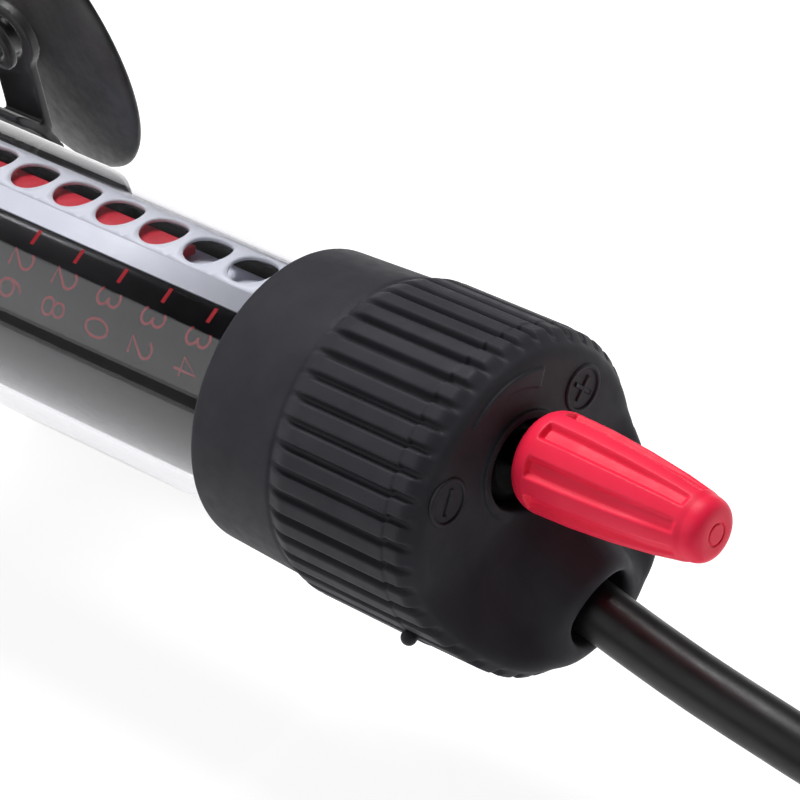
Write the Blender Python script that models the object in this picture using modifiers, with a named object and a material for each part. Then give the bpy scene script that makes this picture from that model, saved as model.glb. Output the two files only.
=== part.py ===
"""Submersible aquarium heater with a ribbed cap, temperature knob, thermostat, clips and mains cable.

Row frame, in metres: +X runs along the glass tube towards the cap, +Y towards the aquarium wall, +Z up.
The origin is the centre of the flat pad at the back of the clip nearest the cap.
Tube parts are drawn in millimetres about the tube's own axis (local +Z towards the cap, local +Y towards
the wall, local -X up) and hang on an empty that lays that axis along the row's X.
"""
import math

import bmesh
import bpy
from mathutils import Matrix, Vector

MM = 0.001
TAU = 2 * math.pi

# Where the tube axis lies in the row frame
AXIS_TO_WALL_PAD = 16.4
CAP_FROM_ORIGIN = 88.0

# Glass tube; local z = 0 is where the cap's ribs begin
GLASS_R = 14.0
GLASS_BORE_R = 12.24
GLASS_TOP_Z = 2.0
GLASS_END_Z = -250.0

# Cap
CAP_RIM_Z = -11.3
CAP_RIM_R = 15.95
CAP_WAIST_R = 16.4
CAP_FACE_Z = 20.0
FACE_LIFT = 6.6
RIB_COUNT = 42
RIB_HEIGHT = 1.05
CAP_BORE_R = 14.25
CAP_CAVITY_R = 13.0
CAP_CAVITY_TOP_Z = 16.4
KNOB_HOLE_R = 4.7
KNOB_HOLE_XY = (-4.85, -0.2)

# Cable boss on the cap's face, leaning away from the knob
BOSS_LEAN = math.radians(20)
BOSS_MOUTH = Vector((11.1, 0.0, 27.0))
BOSS_DIRECTION = Vector((math.sin(BOSS_LEAN), 0.0, math.cos(BOSS_LEAN)))
BOSS_LENGTH = 11.0
CABLE_R = 3.0
CABLE_BORE_R = 3.95

# Knob and temperature screw, on one axis
SHAFT_X = -5.77
SCALE_ANGLE = math.radians(170.5)
KNOB_BASE_Z = 21.3
KNOB_LENGTH = 22.4
KNOB_FLUTES = 8
DEGREE_TRAVEL = 3.2175
SCREW_LEAD = 4 * DEGREE_TRAVEL

# Printed scale inside the glass
LINER_R = 12.0
LINER_WALL = 0.7
WINDOW_R = 2.6
WINDOW_PITCH = 2 * DEGREE_TRAVEL
WINDOW_COUNT = 8
FIRST_WINDOW_Z = -17.0
WINDOW_TURN = math.radians(-2.5)
STRIP_START = math.pi + math.radians(-52.5)
STRIP_STOP = math.pi + math.radians(24.5)
STRIP_TOP_Z = -12.2
STRIP_END_Z = -70.0
SLEEVE_TOP_Z = -13.6
SLEEVE_END_Z = -112.0
SET_MARK_Z = -26.6

# Heating element
CORE_R = 7.6
CORE_TOP_Z = -136.0
CORE_END_Z = -232.0
COIL_R = 8.35
COIL_WIRE_R = 0.35
COIL_TURNS = 16

# Clips and suction cups
CLIP_CLEARANCE_R = 14.35
CLIP_WALL = 1.0
ARM_Z = -62.4
ARM_WIDTH = 6.3
ARM_FRONT_Y = 12.8
ARM_BACK_Y = 14.0
CUP_OFFSET = 19.6
CUP_R = 19.0
CUP_PIVOT_Y = 13.4
CLIP_SPACING = 122.0
LOOSE_CUP_LEAN = (math.radians(6.5), math.radians(4.5))

# Cable on the table, in the row frame
TABLE_Z = -CUP_OFFSET - CUP_R
COIL_CENTRE = Vector((165.0, -130.0, TABLE_Z + CABLE_R))
COIL_LOOP_R = 50.0
COIL_RISE = 6.5
COIL_START_DEGREES = 150
COIL_STOP_DEGREES = 1260
COIL_STEP_DEGREES = 15
COIL_TIE_DEGREES = 380
PLUG_FACE = Vector((62.0, -196.0, TABLE_Z + 7.2))
TIE_HALF_WIDE = 6.2
TIE_HALF_TALL = 11.0
TIE_HALF_LONG = 2.0
TIE_WALL = 0.8
PIN_R = 2.0
PIN_SPACING = 18.6

for old in list(bpy.data.objects):
    bpy.data.objects.remove(old, do_unlink=True)

PARTS = bpy.data.collections.new("aquarium_heater")
CUTTERS = bpy.data.collections.new("cutters")
bpy.context.scene.collection.children.link(PARTS)
bpy.context.scene.collection.children.link(CUTTERS)


# ---------------------------------------------------------------- materials

def material(name, colour, roughness, metallic=0.0, transmission=0.0):
    made = bpy.data.materials.new(name)
    made.use_nodes = True
    shader = made.node_tree.nodes["Principled BSDF"]
    shader.inputs["Base Color"].default_value = (*colour, 1.0)
    shader.inputs["Roughness"].default_value = roughness
    shader.inputs["Metallic"].default_value = metallic
    shader.inputs["Transmission Weight"].default_value = transmission
    made.diffuse_color = (*colour, 1.0)
    return made


GLASS = material("glass", (0.92, 0.96, 0.96), 0.02, transmission=1.0)
LAMP_GLASS = material("lamp_glass", (0.95, 0.62, 0.42), 0.05, transmission=0.8)
CAP_BLACK = material("cap_black", (0.022, 0.022, 0.026), 0.45)
CLIP_BLACK = material("clip_black", (0.028, 0.028, 0.030), 0.42)
RUBBER_BLACK = material("rubber_black", (0.018, 0.018, 0.020), 0.60)
CABLE_BLACK = material("cable_black", (0.016, 0.016, 0.018), 0.38)
KNOB_RED = material("knob_red", (0.90, 0.045, 0.095), 0.35)
INDICATOR_RED = material("indicator_red", (0.62, 0.04, 0.09), 0.45)
PRINT_WHITE = material("print_white", (0.74, 0.75, 0.82), 0.50)
PRINT_BLACK = material("print_black", (0.012, 0.012, 0.014), 0.40)
BOARD_BROWN = material("board_brown", (0.20, 0.10, 0.04), 0.60)
CERAMIC = material("ceramic", (0.80, 0.77, 0.70), 0.65)
FIBRE_PAD = material("fibre_pad", (0.86, 0.84, 0.78), 0.90)
STEEL = material("steel", (0.62, 0.62, 0.64), 0.30, 1.0)
BRASS = material("brass", (0.78, 0.57, 0.25), 0.30, 1.0)
RESISTANCE_WIRE = material("resistance_wire", (0.42, 0.40, 0.38), 0.40, 1.0)


# ---------------------------------------------------------------- frames

def empty(name, location, rotation=(0, 0, 0), parent=None):
    made = bpy.data.objects.new(name, None)
    made.location = Vector(location) * MM
    made.rotation_euler = rotation
    made.parent = parent
    bpy.context.scene.collection.objects.link(made)
    return made


TUBE = empty("tube_axis", (CAP_FROM_ORIGIN, -AXIS_TO_WALL_PAD, 0), (0, math.pi / 2, 0))
MECHANISM = empty("mechanism", (0, 0, 0), (0, 0, SCALE_ANGLE - math.pi), TUBE)
KNOB_AXIS = empty("knob_axis", (SHAFT_X, 0, 0), parent=MECHANISM)


# ---------------------------------------------------------------- makers

def add(name, mesh, finish, parent=TUBE, at=(0, 0, 0), turn=(0, 0, 0), role=PARTS):
    """An object from a mesh in millimetres, placed in its parent's millimetres."""
    made = bpy.data.objects.new(name, mesh)
    mesh.transform(Matrix.Scale(MM, 4))
    if finish:
        mesh.materials.append(finish)
    made.parent = parent
    made.location = Vector(at) * MM
    made.rotation_euler = turn
    role.objects.link(made)
    if role is CUTTERS:
        made.hide_render = True
        made.display_type = "WIRE"
    return made


def mesh_from(build):
    """A mesh made by a function that fills a bmesh."""
    mesh = bpy.data.meshes.new("mesh")
    bm = bmesh.new()
    build(bm)
    bm.to_mesh(mesh)
    bm.free()
    return mesh


def block(name, low, high, finish, bevel=0.0, **place):
    """A box between two corners."""
    size = Vector(high) - Vector(low)
    centre = (Vector(high) + Vector(low)) / 2

    def build(bm):
        bmesh.ops.create_cube(bm, size=1.0)
        bmesh.ops.scale(bm, vec=size, verts=bm.verts)

    offset = Vector(place.pop("at", (0, 0, 0)))
    made = add(name, mesh_from(build), finish, at=centre + offset, **place)
    if bevel:
        rounding = made.modifiers.new("rounding", "BEVEL")
        rounding.width = bevel * MM
        rounding.segments = 2
    return made


def rod(name, radius, length, finish, sides=32, tip_radius=None, **place):
    """A cylinder or cone standing on its origin along its own +Z."""

    def build(bm):
        bmesh.ops.create_cone(
            bm,
            cap_ends=True,
            segments=sides,
            radius1=radius,
            radius2=radius if tip_radius is None else tip_radius,
            depth=length,
        )
        bmesh.ops.translate(bm, vec=(0, 0, length / 2), verts=bm.verts)

    return add(name, mesh_from(build), finish, **place)


def turned(name, profile, finish, steps=48, closed=False, sweep=TAU, **place):
    """A shape turned about its own Z from (radius, z) points whose outer side runs top to bottom."""
    mesh = bpy.data.meshes.new("mesh")
    points = [(radius, 0, z) for radius, z in profile]
    edges = [(i, i + 1) for i in range(len(points) - 1)]
    if closed:
        edges.append((len(points) - 1, 0))
    mesh.from_pydata(points, edges, [])
    made = add(name, mesh, finish, **place)
    screw = made.modifiers.new("turning", "SCREW")
    screw.angle = sweep
    screw.steps = steps
    screw.render_steps = steps
    screw.use_merge_vertices = sweep == TAU
    screw.merge_threshold = 1e-6
    return made


def arc_shell(name, outer_r, wall, top_z, end_z, start, stop, finish, steps=16, **place):
    """Part of a tube wall between two angles round the axis."""
    profile = [(outer_r, top_z), (outer_r, end_z)]
    turn = (0, 0, start)
    made = turned(name, profile, finish, steps, sweep=stop - start, turn=turn, **place)
    thickness = made.modifiers.new("wall", "SOLIDIFY")
    thickness.thickness = wall * MM
    thickness.offset = -1
    return made


def lofted(name, rings, finish, **place):
    """A closed solid through rings of equal point count, flat at both ends."""

    def build(bm):
        rows = [[bm.verts.new(point) for point in ring] for ring in rings]
        count = len(rows[0])
        for lower, upper in zip(rows, rows[1:]):
            for i in range(count):
                j = (i + 1) % count
                bm.faces.new((lower[i], lower[j], upper[j], upper[i]))
        bm.faces.new(list(reversed(rows[0])))
        bm.faces.new(rows[-1])
        bmesh.ops.recalc_face_normals(bm, faces=bm.faces)

    return add(name, mesh_from(build), finish, **place)


def wire(name, points, radius, finish, parent=TUBE, sides=2):
    """A round wire through points, as a closed mesh."""
    curve = bpy.data.curves.new("wire", "CURVE")
    curve.dimensions = "3D"
    curve.bevel_depth = radius * MM
    curve.bevel_resolution = sides
    curve.use_fill_caps = True
    spline = curve.splines.new("POLY")
    spline.points.add(len(points) - 1)
    for target, point in zip(spline.points, points):
        target.co = (*(Vector(point) * MM), 1.0)
    draft = bpy.data.objects.new("draft", curve)
    bpy.context.scene.collection.objects.link(draft)
    graph = bpy.context.evaluated_depsgraph_get()
    mesh = bpy.data.meshes.new_from_object(draft.evaluated_get(graph))
    bpy.data.objects.remove(draft)
    bm = bmesh.new()
    bm.from_mesh(mesh)
    bmesh.ops.remove_doubles(bm, verts=bm.verts, dist=1e-7)
    bmesh.ops.recalc_face_normals(bm, faces=bm.faces)
    bm.to_mesh(mesh)
    bm.free()
    mesh.materials.clear()
    mesh.transform(Matrix.Scale(1 / MM, 4))
    return add(name, mesh, finish, parent=parent)


def boolean(target, others, operation):
    for other in others:
        step = target.modifiers.new(other.name, "BOOLEAN")
        step.operation = operation
        step.solver = "EXACT"
        step.object = other
    return target


def join(target, *others):
    return boolean(target, others, "UNION")


def cut(target, *others):
    return boolean(target, others, "DIFFERENCE")


def smooth_path(controls, per_span):
    """Catmull-Rom points through the control points."""
    knots = [Vector(c) for c in controls]
    knots = [2 * knots[0] - knots[1], *knots, 2 * knots[-1] - knots[-2]]
    path = []
    for a, b, c, d in zip(knots, knots[1:], knots[2:], knots[3:]):
        for i in range(per_span):
            t = i / per_span
            path.append(
                0.5 * (2 * b + (c - a) * t + (2 * a - 5 * b + 4 * c - d) * t**2
                       + (3 * b - a - 3 * c + d) * t**3)
            )
    path.append(knots[-2])
    return path


def to_row(point):
    """A point on the tube's own axes, in row millimetres."""
    x, y, z = point
    return Vector((z + CAP_FROM_ORIGIN, y - AXIS_TO_WALL_PAD, -x))


# ---------------------------------------------------------------- glass tube and its packing

def glass_tube():
    centre = GLASS_END_Z + GLASS_R
    arcs = 7
    outer = [(GLASS_R, GLASS_TOP_Z)]
    inner = [(GLASS_BORE_R, GLASS_TOP_Z)]
    for i in range(arcs + 1):
        angle = math.pi / 2 * i / arcs
        outer.append((GLASS_R * math.cos(angle), centre - GLASS_R * math.sin(angle)))
        inner.append((GLASS_BORE_R * math.cos(angle), centre - GLASS_BORE_R * math.sin(angle)))
    turned("glass_tube", list(reversed(inner)) + outer, GLASS, 36)


def tube_packing():
    turned("tube_o_ring", ring_profile(14.74, 0.48, -8.0, 6), RUBBER_BLACK, 36, closed=True)
    plug = rod("sealing_plug", 12.0, 10.0, RUBBER_BLACK, 48, at=(0, 0, -8.5))
    shaft_way = rod("plug_shaft_way", 2.5, 14, None, parent=KNOB_AXIS, at=(0, 0, -10), role=CUTTERS)
    ways = [
        rod("plug_lead_way_" + side, 1.0, 14, None, 16, at=(5.0, y, -10), role=CUTTERS)
        for side, y in (("a", -2.6), ("b", 2.6))
    ]
    cut(plug, shaft_way, *ways)
    pad = [(0, -234.7), (9.6, -234.7), (9.9, -238.0), (7.6, -243.0), (3.5, -245.6), (0, -246.0)]
    turned("end_cushion", pad, FIBRE_PAD, 24)


def ring_profile(radius, thickness, z, points=8):
    """A round section for a seal ring, starting at its top and running down its outer side."""
    section = []
    for i in range(points):
        angle = math.pi / 2 - TAU * i / points
        section.append((radius + thickness * math.cos(angle), z + thickness * math.sin(angle)))
    return section


# ---------------------------------------------------------------- cap

def face_lift(x):
    """How far the cap's end stands proud of the flat face on the cable's side."""
    share = min(max((x + 0.5) / 14.5, 0), 1)
    return FACE_LIFT * share * share * (3 - 2 * share)


def cap_ring(z, radius, rib_share, lifted=1):
    """One level of the cap's outside: each rib is a flat top with two sloping flanks."""
    rib = ((0.00, 0.0), (0.20, 1.0), (0.58, 1.0), (0.78, 0.0))
    ring = []
    for k in range(RIB_COUNT):
        for share, height in rib:
            angle = TAU * (k + share) / RIB_COUNT
            r = radius + RIB_HEIGHT * rib_share * height
            x, y = r * math.cos(angle), r * math.sin(angle)
            ring.append((x, y, z + lifted * face_lift(x)))
    return ring


def setting_mark(name, xy, bars):
    """A small raised ring with a minus or a plus inside it."""
    x, y = xy
    face = CAP_FACE_Z
    low, high, outer, inner = face - 0.3, face + 0.25, 2.6, 2.2
    section = [(outer, high), (outer, low), (inner, low), (inner, high)]
    pieces = [turned(name + "_ring", section, None, 20, closed=True, at=(x, y, 0), role=CUTTERS)]
    for i in range(bars):
        turn = (0, 0, i * math.pi / 2)
        size = Vector((0.28, 1.5, 0.28))
        bar = block(name + f"_bar_{i}", -size, size, None, turn=turn, role=CUTTERS, at=(x, y, face))
        pieces.append(bar)
    return pieces


def cap_housing():
    levels = [
        (CAP_RIM_Z, CAP_RIM_R - 0.45, 0, 0),
        (CAP_RIM_Z + 0.45, CAP_RIM_R, 0, 0),
        (0.0, CAP_WAIST_R, 0, 0),
        (2.0, CAP_WAIST_R, 1, 0),
        (16.0, CAP_WAIST_R, 1, 0),
        (18.2, CAP_WAIST_R - 0.3, 0.45),
        (19.4, CAP_WAIST_R - 1.2, 0),
        (CAP_FACE_Z, CAP_WAIST_R - 2.2, 0),
        (CAP_FACE_Z, 9.0, 0),
        (CAP_FACE_Z, 3.0, 0),
    ]
    cap = lofted("cap_housing", [cap_ring(*level) for level in levels], CAP_BLACK)
    foot = BOSS_MOUTH - BOSS_DIRECTION * BOSS_LENGTH
    lean = (0, BOSS_LEAN, 0)
    hole_x, hole_y = KNOB_HOLE_XY
    lip = [(5.3, 20.5), (5.85, 20.2), (5.85, 19.6), (4.4, 19.6), (4.4, 20.3)]
    join(
        cap,
        rod("boss_body", 9.0, BOSS_LENGTH, None, 40, 5.7, at=foot, turn=lean, role=CUTTERS),
        turned("knob_hole_lip", lip, None, 32, closed=True, at=(hole_x, hole_y, 0), role=CUTTERS),
        *setting_mark("minus_mark", (-7.65, -10.5), 1),
        *setting_mark("plus_mark", (-7.3, 9.7), 2),
    )
    bore_start = BOSS_MOUTH - BOSS_DIRECTION * 16
    cut(
        cap,
        rod("tube_bore", CAP_BORE_R, 15.0, None, 64, at=(0, 0, CAP_RIM_Z - 1.0), role=CUTTERS),
        rod("o_ring_seat", 15.3, 3.0, None, 64, at=(0, 0, -9.5), role=CUTTERS),
        rod("wiring_space", CAP_CAVITY_R, CAP_CAVITY_TOP_Z - 2, None, 48, at=(0, 0, 2), role=CUTTERS),
        rod("knob_hole", KNOB_HOLE_R, 10, None, 32, at=(hole_x, hole_y, 13), role=CUTTERS),
        rod("cable_bore", CABLE_BORE_R, 20, None, 32, at=bore_start, turn=lean, role=CUTTERS),
    )


def cap_fittings():
    gland = rod("shaft_gland", 4.3, 6.0, RUBBER_BLACK, 32, at=(*KNOB_HOLE_XY, 12.4))
    cut(gland, rod("gland_bore", 2.3, 8.0, None, 24, parent=KNOB_AXIS, at=(0, 0, 11.4), role=CUTTERS))
    o_ring = ring_profile(2.95, 0.55, 11.4, 6)
    turned("shaft_o_ring", o_ring, RUBBER_BLACK, 20, closed=True, parent=KNOB_AXIS)
    sleeve = [(3.85, 0), (3.85, -5.5), (3.12, -5.5), (3.12, 0)]
    top = BOSS_MOUTH - BOSS_DIRECTION * 6.5
    turned("cable_grommet", sleeve, RUBBER_BLACK, 24, closed=True, at=top, turn=(0, BOSS_LEAN, 0))


# ---------------------------------------------------------------- knob and screw

def knob_ring(z, radius, depth):
    """A level of the knob: flutes cut into a round body."""
    flute = ((0.0, 0.0), (0.20, 0.0), (0.31, 1.0), (0.56, 1.0), (0.67, 0.0))
    ring = []
    for k in range(KNOB_FLUTES):
        for share, cut_share in flute:
            angle = TAU * (k + share) / KNOB_FLUTES
            r = radius - depth * cut_share
            ring.append((r * math.cos(angle), r * math.sin(angle), z))
    return ring


def knob():
    levels = [
        (0.0, 3.9, 0.0),
        (0.5, 4.8, 0.0),
        (1.5, 5.25, 0.0),
        (2.6, 5.3, 0.0),
        (3.0, 5.3, 0.5),
        (8.8, 5.05, 0.55),
        (14.3, 4.5, 0.5),
        (19.3, 3.8, 0.35),
        (21.0, 3.5, 0.15),
        (21.9, 3.2, 0.0),
        (KNOB_LENGTH, 2.5, 0.0),
    ]
    rings = [knob_ring(z, r, depth) for z, r, depth in levels]
    grip = lofted("knob", rings, KNOB_RED, parent=KNOB_AXIS, at=(0, 0, KNOB_BASE_Z))
    foot = (0, 0, KNOB_BASE_Z - 0.6)
    socket = rod("shaft_socket", 2.25, 10.1, None, 24, parent=KNOB_AXIS, at=foot, role=CUTTERS)
    cut(grip, socket)


def knob_shaft():
    profile = [(0, 30.0), (2.0, 30.0), (2.0, 10.4), (1.7, 10.4), (1.7, 9.5), (2.0, 9.5), (2.0, -12.0),
               (0, -12.0)]
    turned("knob_shaft", profile, KNOB_RED, 24, parent=KNOB_AXIS)
    clip = [(2.9, 10.2), (2.9, 9.7), (1.8, 9.7), (1.8, 10.2)]
    turned("shaft_circlip", clip, STEEL, 24, closed=True, parent=KNOB_AXIS)


def temperature_screw():
    """A square bar twisted to the screw's lead, on a round journal."""
    top_z, end_z = -12.3, -74.5
    length = top_z - end_z
    side = 3.0
    steps = 40

    def level(i):
        z = end_z + length * i / steps
        twist = TAU * length * i / steps / SCREW_LEAD
        half_diagonal = side / math.sqrt(2)
        corners = (twist + math.pi / 4 + k * math.pi / 2 for k in range(4))
        return [(half_diagonal * math.cos(a), half_diagonal * math.sin(a), z) for a in corners]

    screw = lofted("temperature_screw", [level(i) for i in range(steps + 1)], STEEL, parent=KNOB_AXIS)
    journal = rod("screw_journal", 1.2, 5.0, None, 20, parent=KNOB_AXIS, at=(0, 0, -79.0), role=CUTTERS)
    join(screw, journal)


# ---------------------------------------------------------------- printed scale and indicator

def scale_liner():
    """A white window strip and a black sleeve, side by side round the inside of the glass."""
    strip = arc_shell("scale_strip", LINER_R, LINER_WALL, STRIP_TOP_Z, STRIP_END_Z, STRIP_START, STRIP_STOP,
                      PRINT_WHITE, 16, parent=MECHANISM)
    foot_r = 9.0
    for i in range(WINDOW_COUNT):
        z = FIRST_WINDOW_Z - i * WINDOW_PITCH
        foot = (-foot_r * math.cos(WINDOW_TURN), -foot_r * math.sin(WINDOW_TURN), z)
        window = rod(f"window_{i}", WINDOW_R, 6, None, 20, parent=MECHANISM, at=foot,
                     turn=(0, -math.pi / 2, WINDOW_TURN), role=CUTTERS)
        cut(strip, window)
    gap = math.radians(1.5)
    arc_shell("scale_sleeve", LINER_R, LINER_WALL, SLEEVE_TOP_Z, SLEEVE_END_Z, STRIP_STOP + gap,
              TAU + STRIP_START - gap, PRINT_BLACK, 36, parent=MECHANISM)


def indicator():
    """The red slider behind the windows, carried by a nut on the twisted bar."""
    half = math.radians(10)
    slider = arc_shell("temperature_indicator", 10.95, 0.8, SET_MARK_Z, SET_MARK_Z - 40, math.pi - half,
                       math.pi + half, INDICATOR_RED, 6, parent=MECHANISM)
    neck = block("indicator_neck", (-10.3, -2.9, SET_MARK_Z - 9), (-8.7, -1.7, SET_MARK_Z - 1), None,
                 parent=MECHANISM, role=CUTTERS)
    join(slider, neck)
    nut = block("indicator_nut", (-8.4, -3.2, SET_MARK_Z - 9), (-3.2, 3.2, SET_MARK_Z - 1), INDICATOR_RED,
                parent=MECHANISM)
    way_foot = (0, 0, SET_MARK_Z - 11)
    cut(nut, rod("nut_bar_way", 2.25, 12, None, 24, parent=KNOB_AXIS, at=way_foot, role=CUTTERS))
    guide_start = math.pi - math.radians(22)
    guide_stop = math.pi + math.radians(4)
    arc_shell("indicator_guide", 9.85, 0.6, SLEEVE_TOP_Z, -72.0, guide_start, guide_stop, PRINT_WHITE, 6,
              parent=MECHANISM)


# ---------------------------------------------------------------- thermostat

def thermostat():
    block("thermostat_board", (1.5, -8.0, -128.0), (3.0, 8.0, -14.0), BOARD_BROWN, 0.3, parent=MECHANISM)
    bearing = block("screw_bearing", (-8.4, -4.0, -79.0), (1.2, 4.0, -75.0), BOARD_BROWN, 0.3,
                    parent=MECHANISM)
    cut(bearing, rod("bearing_hole", 1.26, 8, None, 20, parent=KNOB_AXIS, at=(0, 0, -81), role=CUTTERS))
    block("bimetal_anchor", (3.3, -4.0, -89.0), (6.1, 4.0, -84.0), CERAMIC, 0.3, parent=MECHANISM)
    block("bimetal_strip", (6.4, -2.8, -119.0), (6.9, 2.8, -84.5), BRASS, parent=MECHANISM)
    block("fixed_contact_bracket", (3.3, -2.5, -119.0), (4.3, 2.5, -112.0), BRASS, 0.2, parent=MECHANISM)
    along_x = (0, math.pi / 2, 0)
    rod("fixed_contact", 1.5, 0.7, STEEL, 20, parent=MECHANISM, at=(4.5, 0, -115.5), turn=along_x)
    rod("moving_contact", 1.5, 0.7, STEEL, 20, parent=MECHANISM, at=(5.55, 0, -115.5), turn=along_x)
    block("contact_magnet", (3.3, -2.2, -110.6), (5.0, 2.2, -107.0), STEEL, 0.3, parent=MECHANISM)
    rod("suppressor_capacitor", 3.4, 2.2, CERAMIC, 24, parent=MECHANISM, at=(3.3, 0, -98), turn=along_x)
    lamp = [(0, -30.6), (1.0, -31.0), (2.2, -32.4), (2.2, -39.0), (1.5, -40.0), (0, -40.2)]
    turned("indicator_lamp", lamp, LAMP_GLASS, 20, parent=MECHANISM, at=(6.0, 0, 0))
    resistor = [(0, -50.0), (1.1, -50.0), (1.3, -50.8), (1.3, -56.2), (1.1, -57.0), (0, -57.0)]
    turned("lamp_resistor", resistor, CERAMIC, 16, parent=MECHANISM, at=(6.0, 0, 0))


def leads():
    """The two cable cores down to the switch and the element, and the element's return."""
    live = [(4.6, -1.2, 4.5), (5.0, -2.6, 1.8), (5.0, -2.6, -12), (7.6, -4.9, -18), (7.6, -4.9, -72),
            (7.2, -4.0, -79), (6.8, -3.0, -82.5)]
    neutral = [(4.6, 1.2, 4.5), (5.0, 2.6, 1.8), (5.0, 2.6, -12), (7.6, 4.9, -18), (7.6, 5.4, -115),
               (7.0, 5.5, -122), (6.0, 5.6, -127)]
    wire("live_lead", smooth_path(live, 3), 0.6, CABLE_BLACK, parent=TUBE)
    wire("neutral_lead", smooth_path(neutral, 3), 0.6, KNOB_RED, parent=TUBE)
    ret = [(0, 10.4, -129), (0, 10.4, -180), (0, 10.4, -231.5)]
    wire("return_lead", ret, 0.5, RESISTANCE_WIRE, parent=TUBE)


# ---------------------------------------------------------------- heating element

def heating_element():
    shield = rod("heat_shield", 11.6, 1.4, CERAMIC, 40, at=(0, 0, -132.4))
    top = rod("core_top_disc", 9.6, 1.6, CERAMIC, 40, at=(0, 0, -135.6))
    end = rod("core_end_disc", 9.6, 1.6, CERAMIC, 40, at=(0, 0, -234.0))
    for disc in (shield, top, end):
        below = (0, 0, disc.location.z / MM - 2)
        cut(disc, rod(disc.name + "_rod_way", 1.5, 6, None, 20, at=below, role=CUTTERS))
    cut(shield, rod("shield_return_way", 0.8, 6, None, 16, at=(0, 10.4, -134), role=CUTTERS))
    bore = 2.0
    core = [(CORE_R, CORE_TOP_Z), (CORE_R, CORE_END_Z), (bore, CORE_END_Z), (bore, CORE_TOP_Z)]
    turned("heater_core", core, CERAMIC, 40, closed=True)
    rod("core_tie_rod", 1.2, 107.0, STEEL, 16, at=(0, 0, -234.4))
    per_turn = 10
    pitch = (CORE_TOP_Z - CORE_END_Z - 8) / COIL_TURNS
    helix = []
    for i in range(COIL_TURNS * per_turn + 1):
        angle = TAU * i / per_turn
        z = CORE_TOP_Z - 4 - pitch * i / per_turn
        helix.append((COIL_R * math.cos(angle), COIL_R * math.sin(angle), z))
    wire("heating_coil", helix, COIL_WIRE_R, RESISTANCE_WIRE, sides=1)


# ---------------------------------------------------------------- clips and suction cups

def clip(name, shift):
    """A springy C round the tube with two arms; the suction cups stand in the arms' ring ends."""
    top, waist, end = ARM_Z + ARM_WIDTH / 2 + shift, ARM_Z - 4 + shift, ARM_Z - 31.6 + shift
    facing_wall = (-math.pi / 2, 0, 0)
    grip = arc_shell(name, CLIP_CLEARANCE_R + CLIP_WALL, CLIP_WALL, top, end, math.radians(-38),
                     math.radians(218), CLIP_BLACK, 40)
    cut(grip, block(name + "_front_relief", (-20, -20, waist), (20, 9.3, top + 2), None, role=CUTTERS))
    pad_low, pad_high = (-4, 14.6, end + 0.6), (4, AXIS_TO_WALL_PAD, end + 11.4)
    pieces = [block(name + "_pad", pad_low, pad_high, None, role=CUTTERS)]
    for side in (-1, 1):
        near, far = sorted((side * 7.6, side * CUP_OFFSET))
        low = (near, ARM_FRONT_Y, ARM_Z - ARM_WIDTH / 2 + 0.1 + shift)
        high = (far, ARM_BACK_Y, ARM_Z + ARM_WIDTH / 2 - 0.1 + shift)
        pieces.append(block(f"{name}_arm_{side}", low, high, None, role=CUTTERS))
        centre = (side * CUP_OFFSET, ARM_FRONT_Y - 0.05, ARM_Z + shift)
        pieces.append(rod(f"{name}_arm_end_{side}", 4.3, 1.3, None, 32, at=centre, turn=facing_wall,
                          role=CUTTERS))
    join(grip, *pieces)
    for side in (-1, 1):
        centre = (side * CUP_OFFSET, ARM_FRONT_Y - 2, ARM_Z + shift)
        cut(grip, rod(f"{name}_cup_hole_{side}", 2.9, 6, None, 24, at=centre, turn=facing_wall,
                      role=CUTTERS))


def suction_cup(name, side, shift, lean=(0.0, 0.0)):
    """A rubber cup; its own +Z points at the wall and its origin is in the middle of the arm's plate."""
    head_front, neck_front, neck_back = -2.2, -1.2, 1.2
    profile = [
        (0, 2.2), (4.6, 2.4), (12.0, 2.9), (16.6, 3.2), (CUP_R, 3.2), (CUP_R, 2.6), (18.2, 2.1), (12.0, 1.7),
        (3.8, neck_back), (2.3, neck_back), (2.3, neck_front), (3.4, neck_front), (3.4, head_front),
        (1.8, head_front), (1.8, -0.2), (0, -0.2),
    ]
    tilt_x, tilt_z = lean
    turned(name, profile, RUBBER_BLACK, 28, at=(side * CUP_OFFSET, CUP_PIVOT_Y, ARM_Z + shift),
           turn=(-math.pi / 2 + tilt_x, 0, tilt_z))


# ---------------------------------------------------------------- cable and mains plug

def coil_lift(degrees):
    """How far the coil has climbed since it began."""
    return COIL_RISE * (degrees - COIL_START_DEGREES) / 360


def cable_path():
    """From inside the cap, out of the boss, down to the table, round a loose coil and on to the plug."""
    inside = [BOSS_MOUTH - BOSS_DIRECTION * d for d in (19.5, 10.0)] + [BOSS_MOUTH + Vector((0.5, 0, 0))]
    falling = [(15.05, 0.0, 38.3), (17.7, 0.1, 49.9), (21.7, 1.0, 62.0), (28.8, 2.0, 75.0)]
    lead_in = [(174, -25), (171, -45), (153, -66), (133.4, -84.7)]
    floor = TABLE_Z + CABLE_R
    controls = [to_row(p) for p in inside + falling] + [Vector((x, y, floor)) for x, y in lead_in]
    path = smooth_path(controls, 4)
    for degrees in range(COIL_START_DEGREES, COIL_STOP_DEGREES + 1, COIL_STEP_DEGREES):
        angle = math.radians(degrees)
        loop_r = COIL_LOOP_R + 1.5 * math.sin(0.7 * angle)
        from_centre = Vector((loop_r * math.cos(angle), loop_r * math.sin(angle), coil_lift(degrees)))
        path.append(COIL_CENTRE + from_centre)
    top = path[-1]
    to_plug = [top, Vector((112, -164, top.z - 5)), Vector((102, -187, PLUG_FACE.z + 3)),
               PLUG_FACE + Vector((24, 0.3, 0.3)), PLUG_FACE + Vector((15, 0, 0))]
    return path + smooth_path(to_plug, 4)[1:] + [PLUG_FACE + Vector((0.4, 0, 0))]


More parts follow.
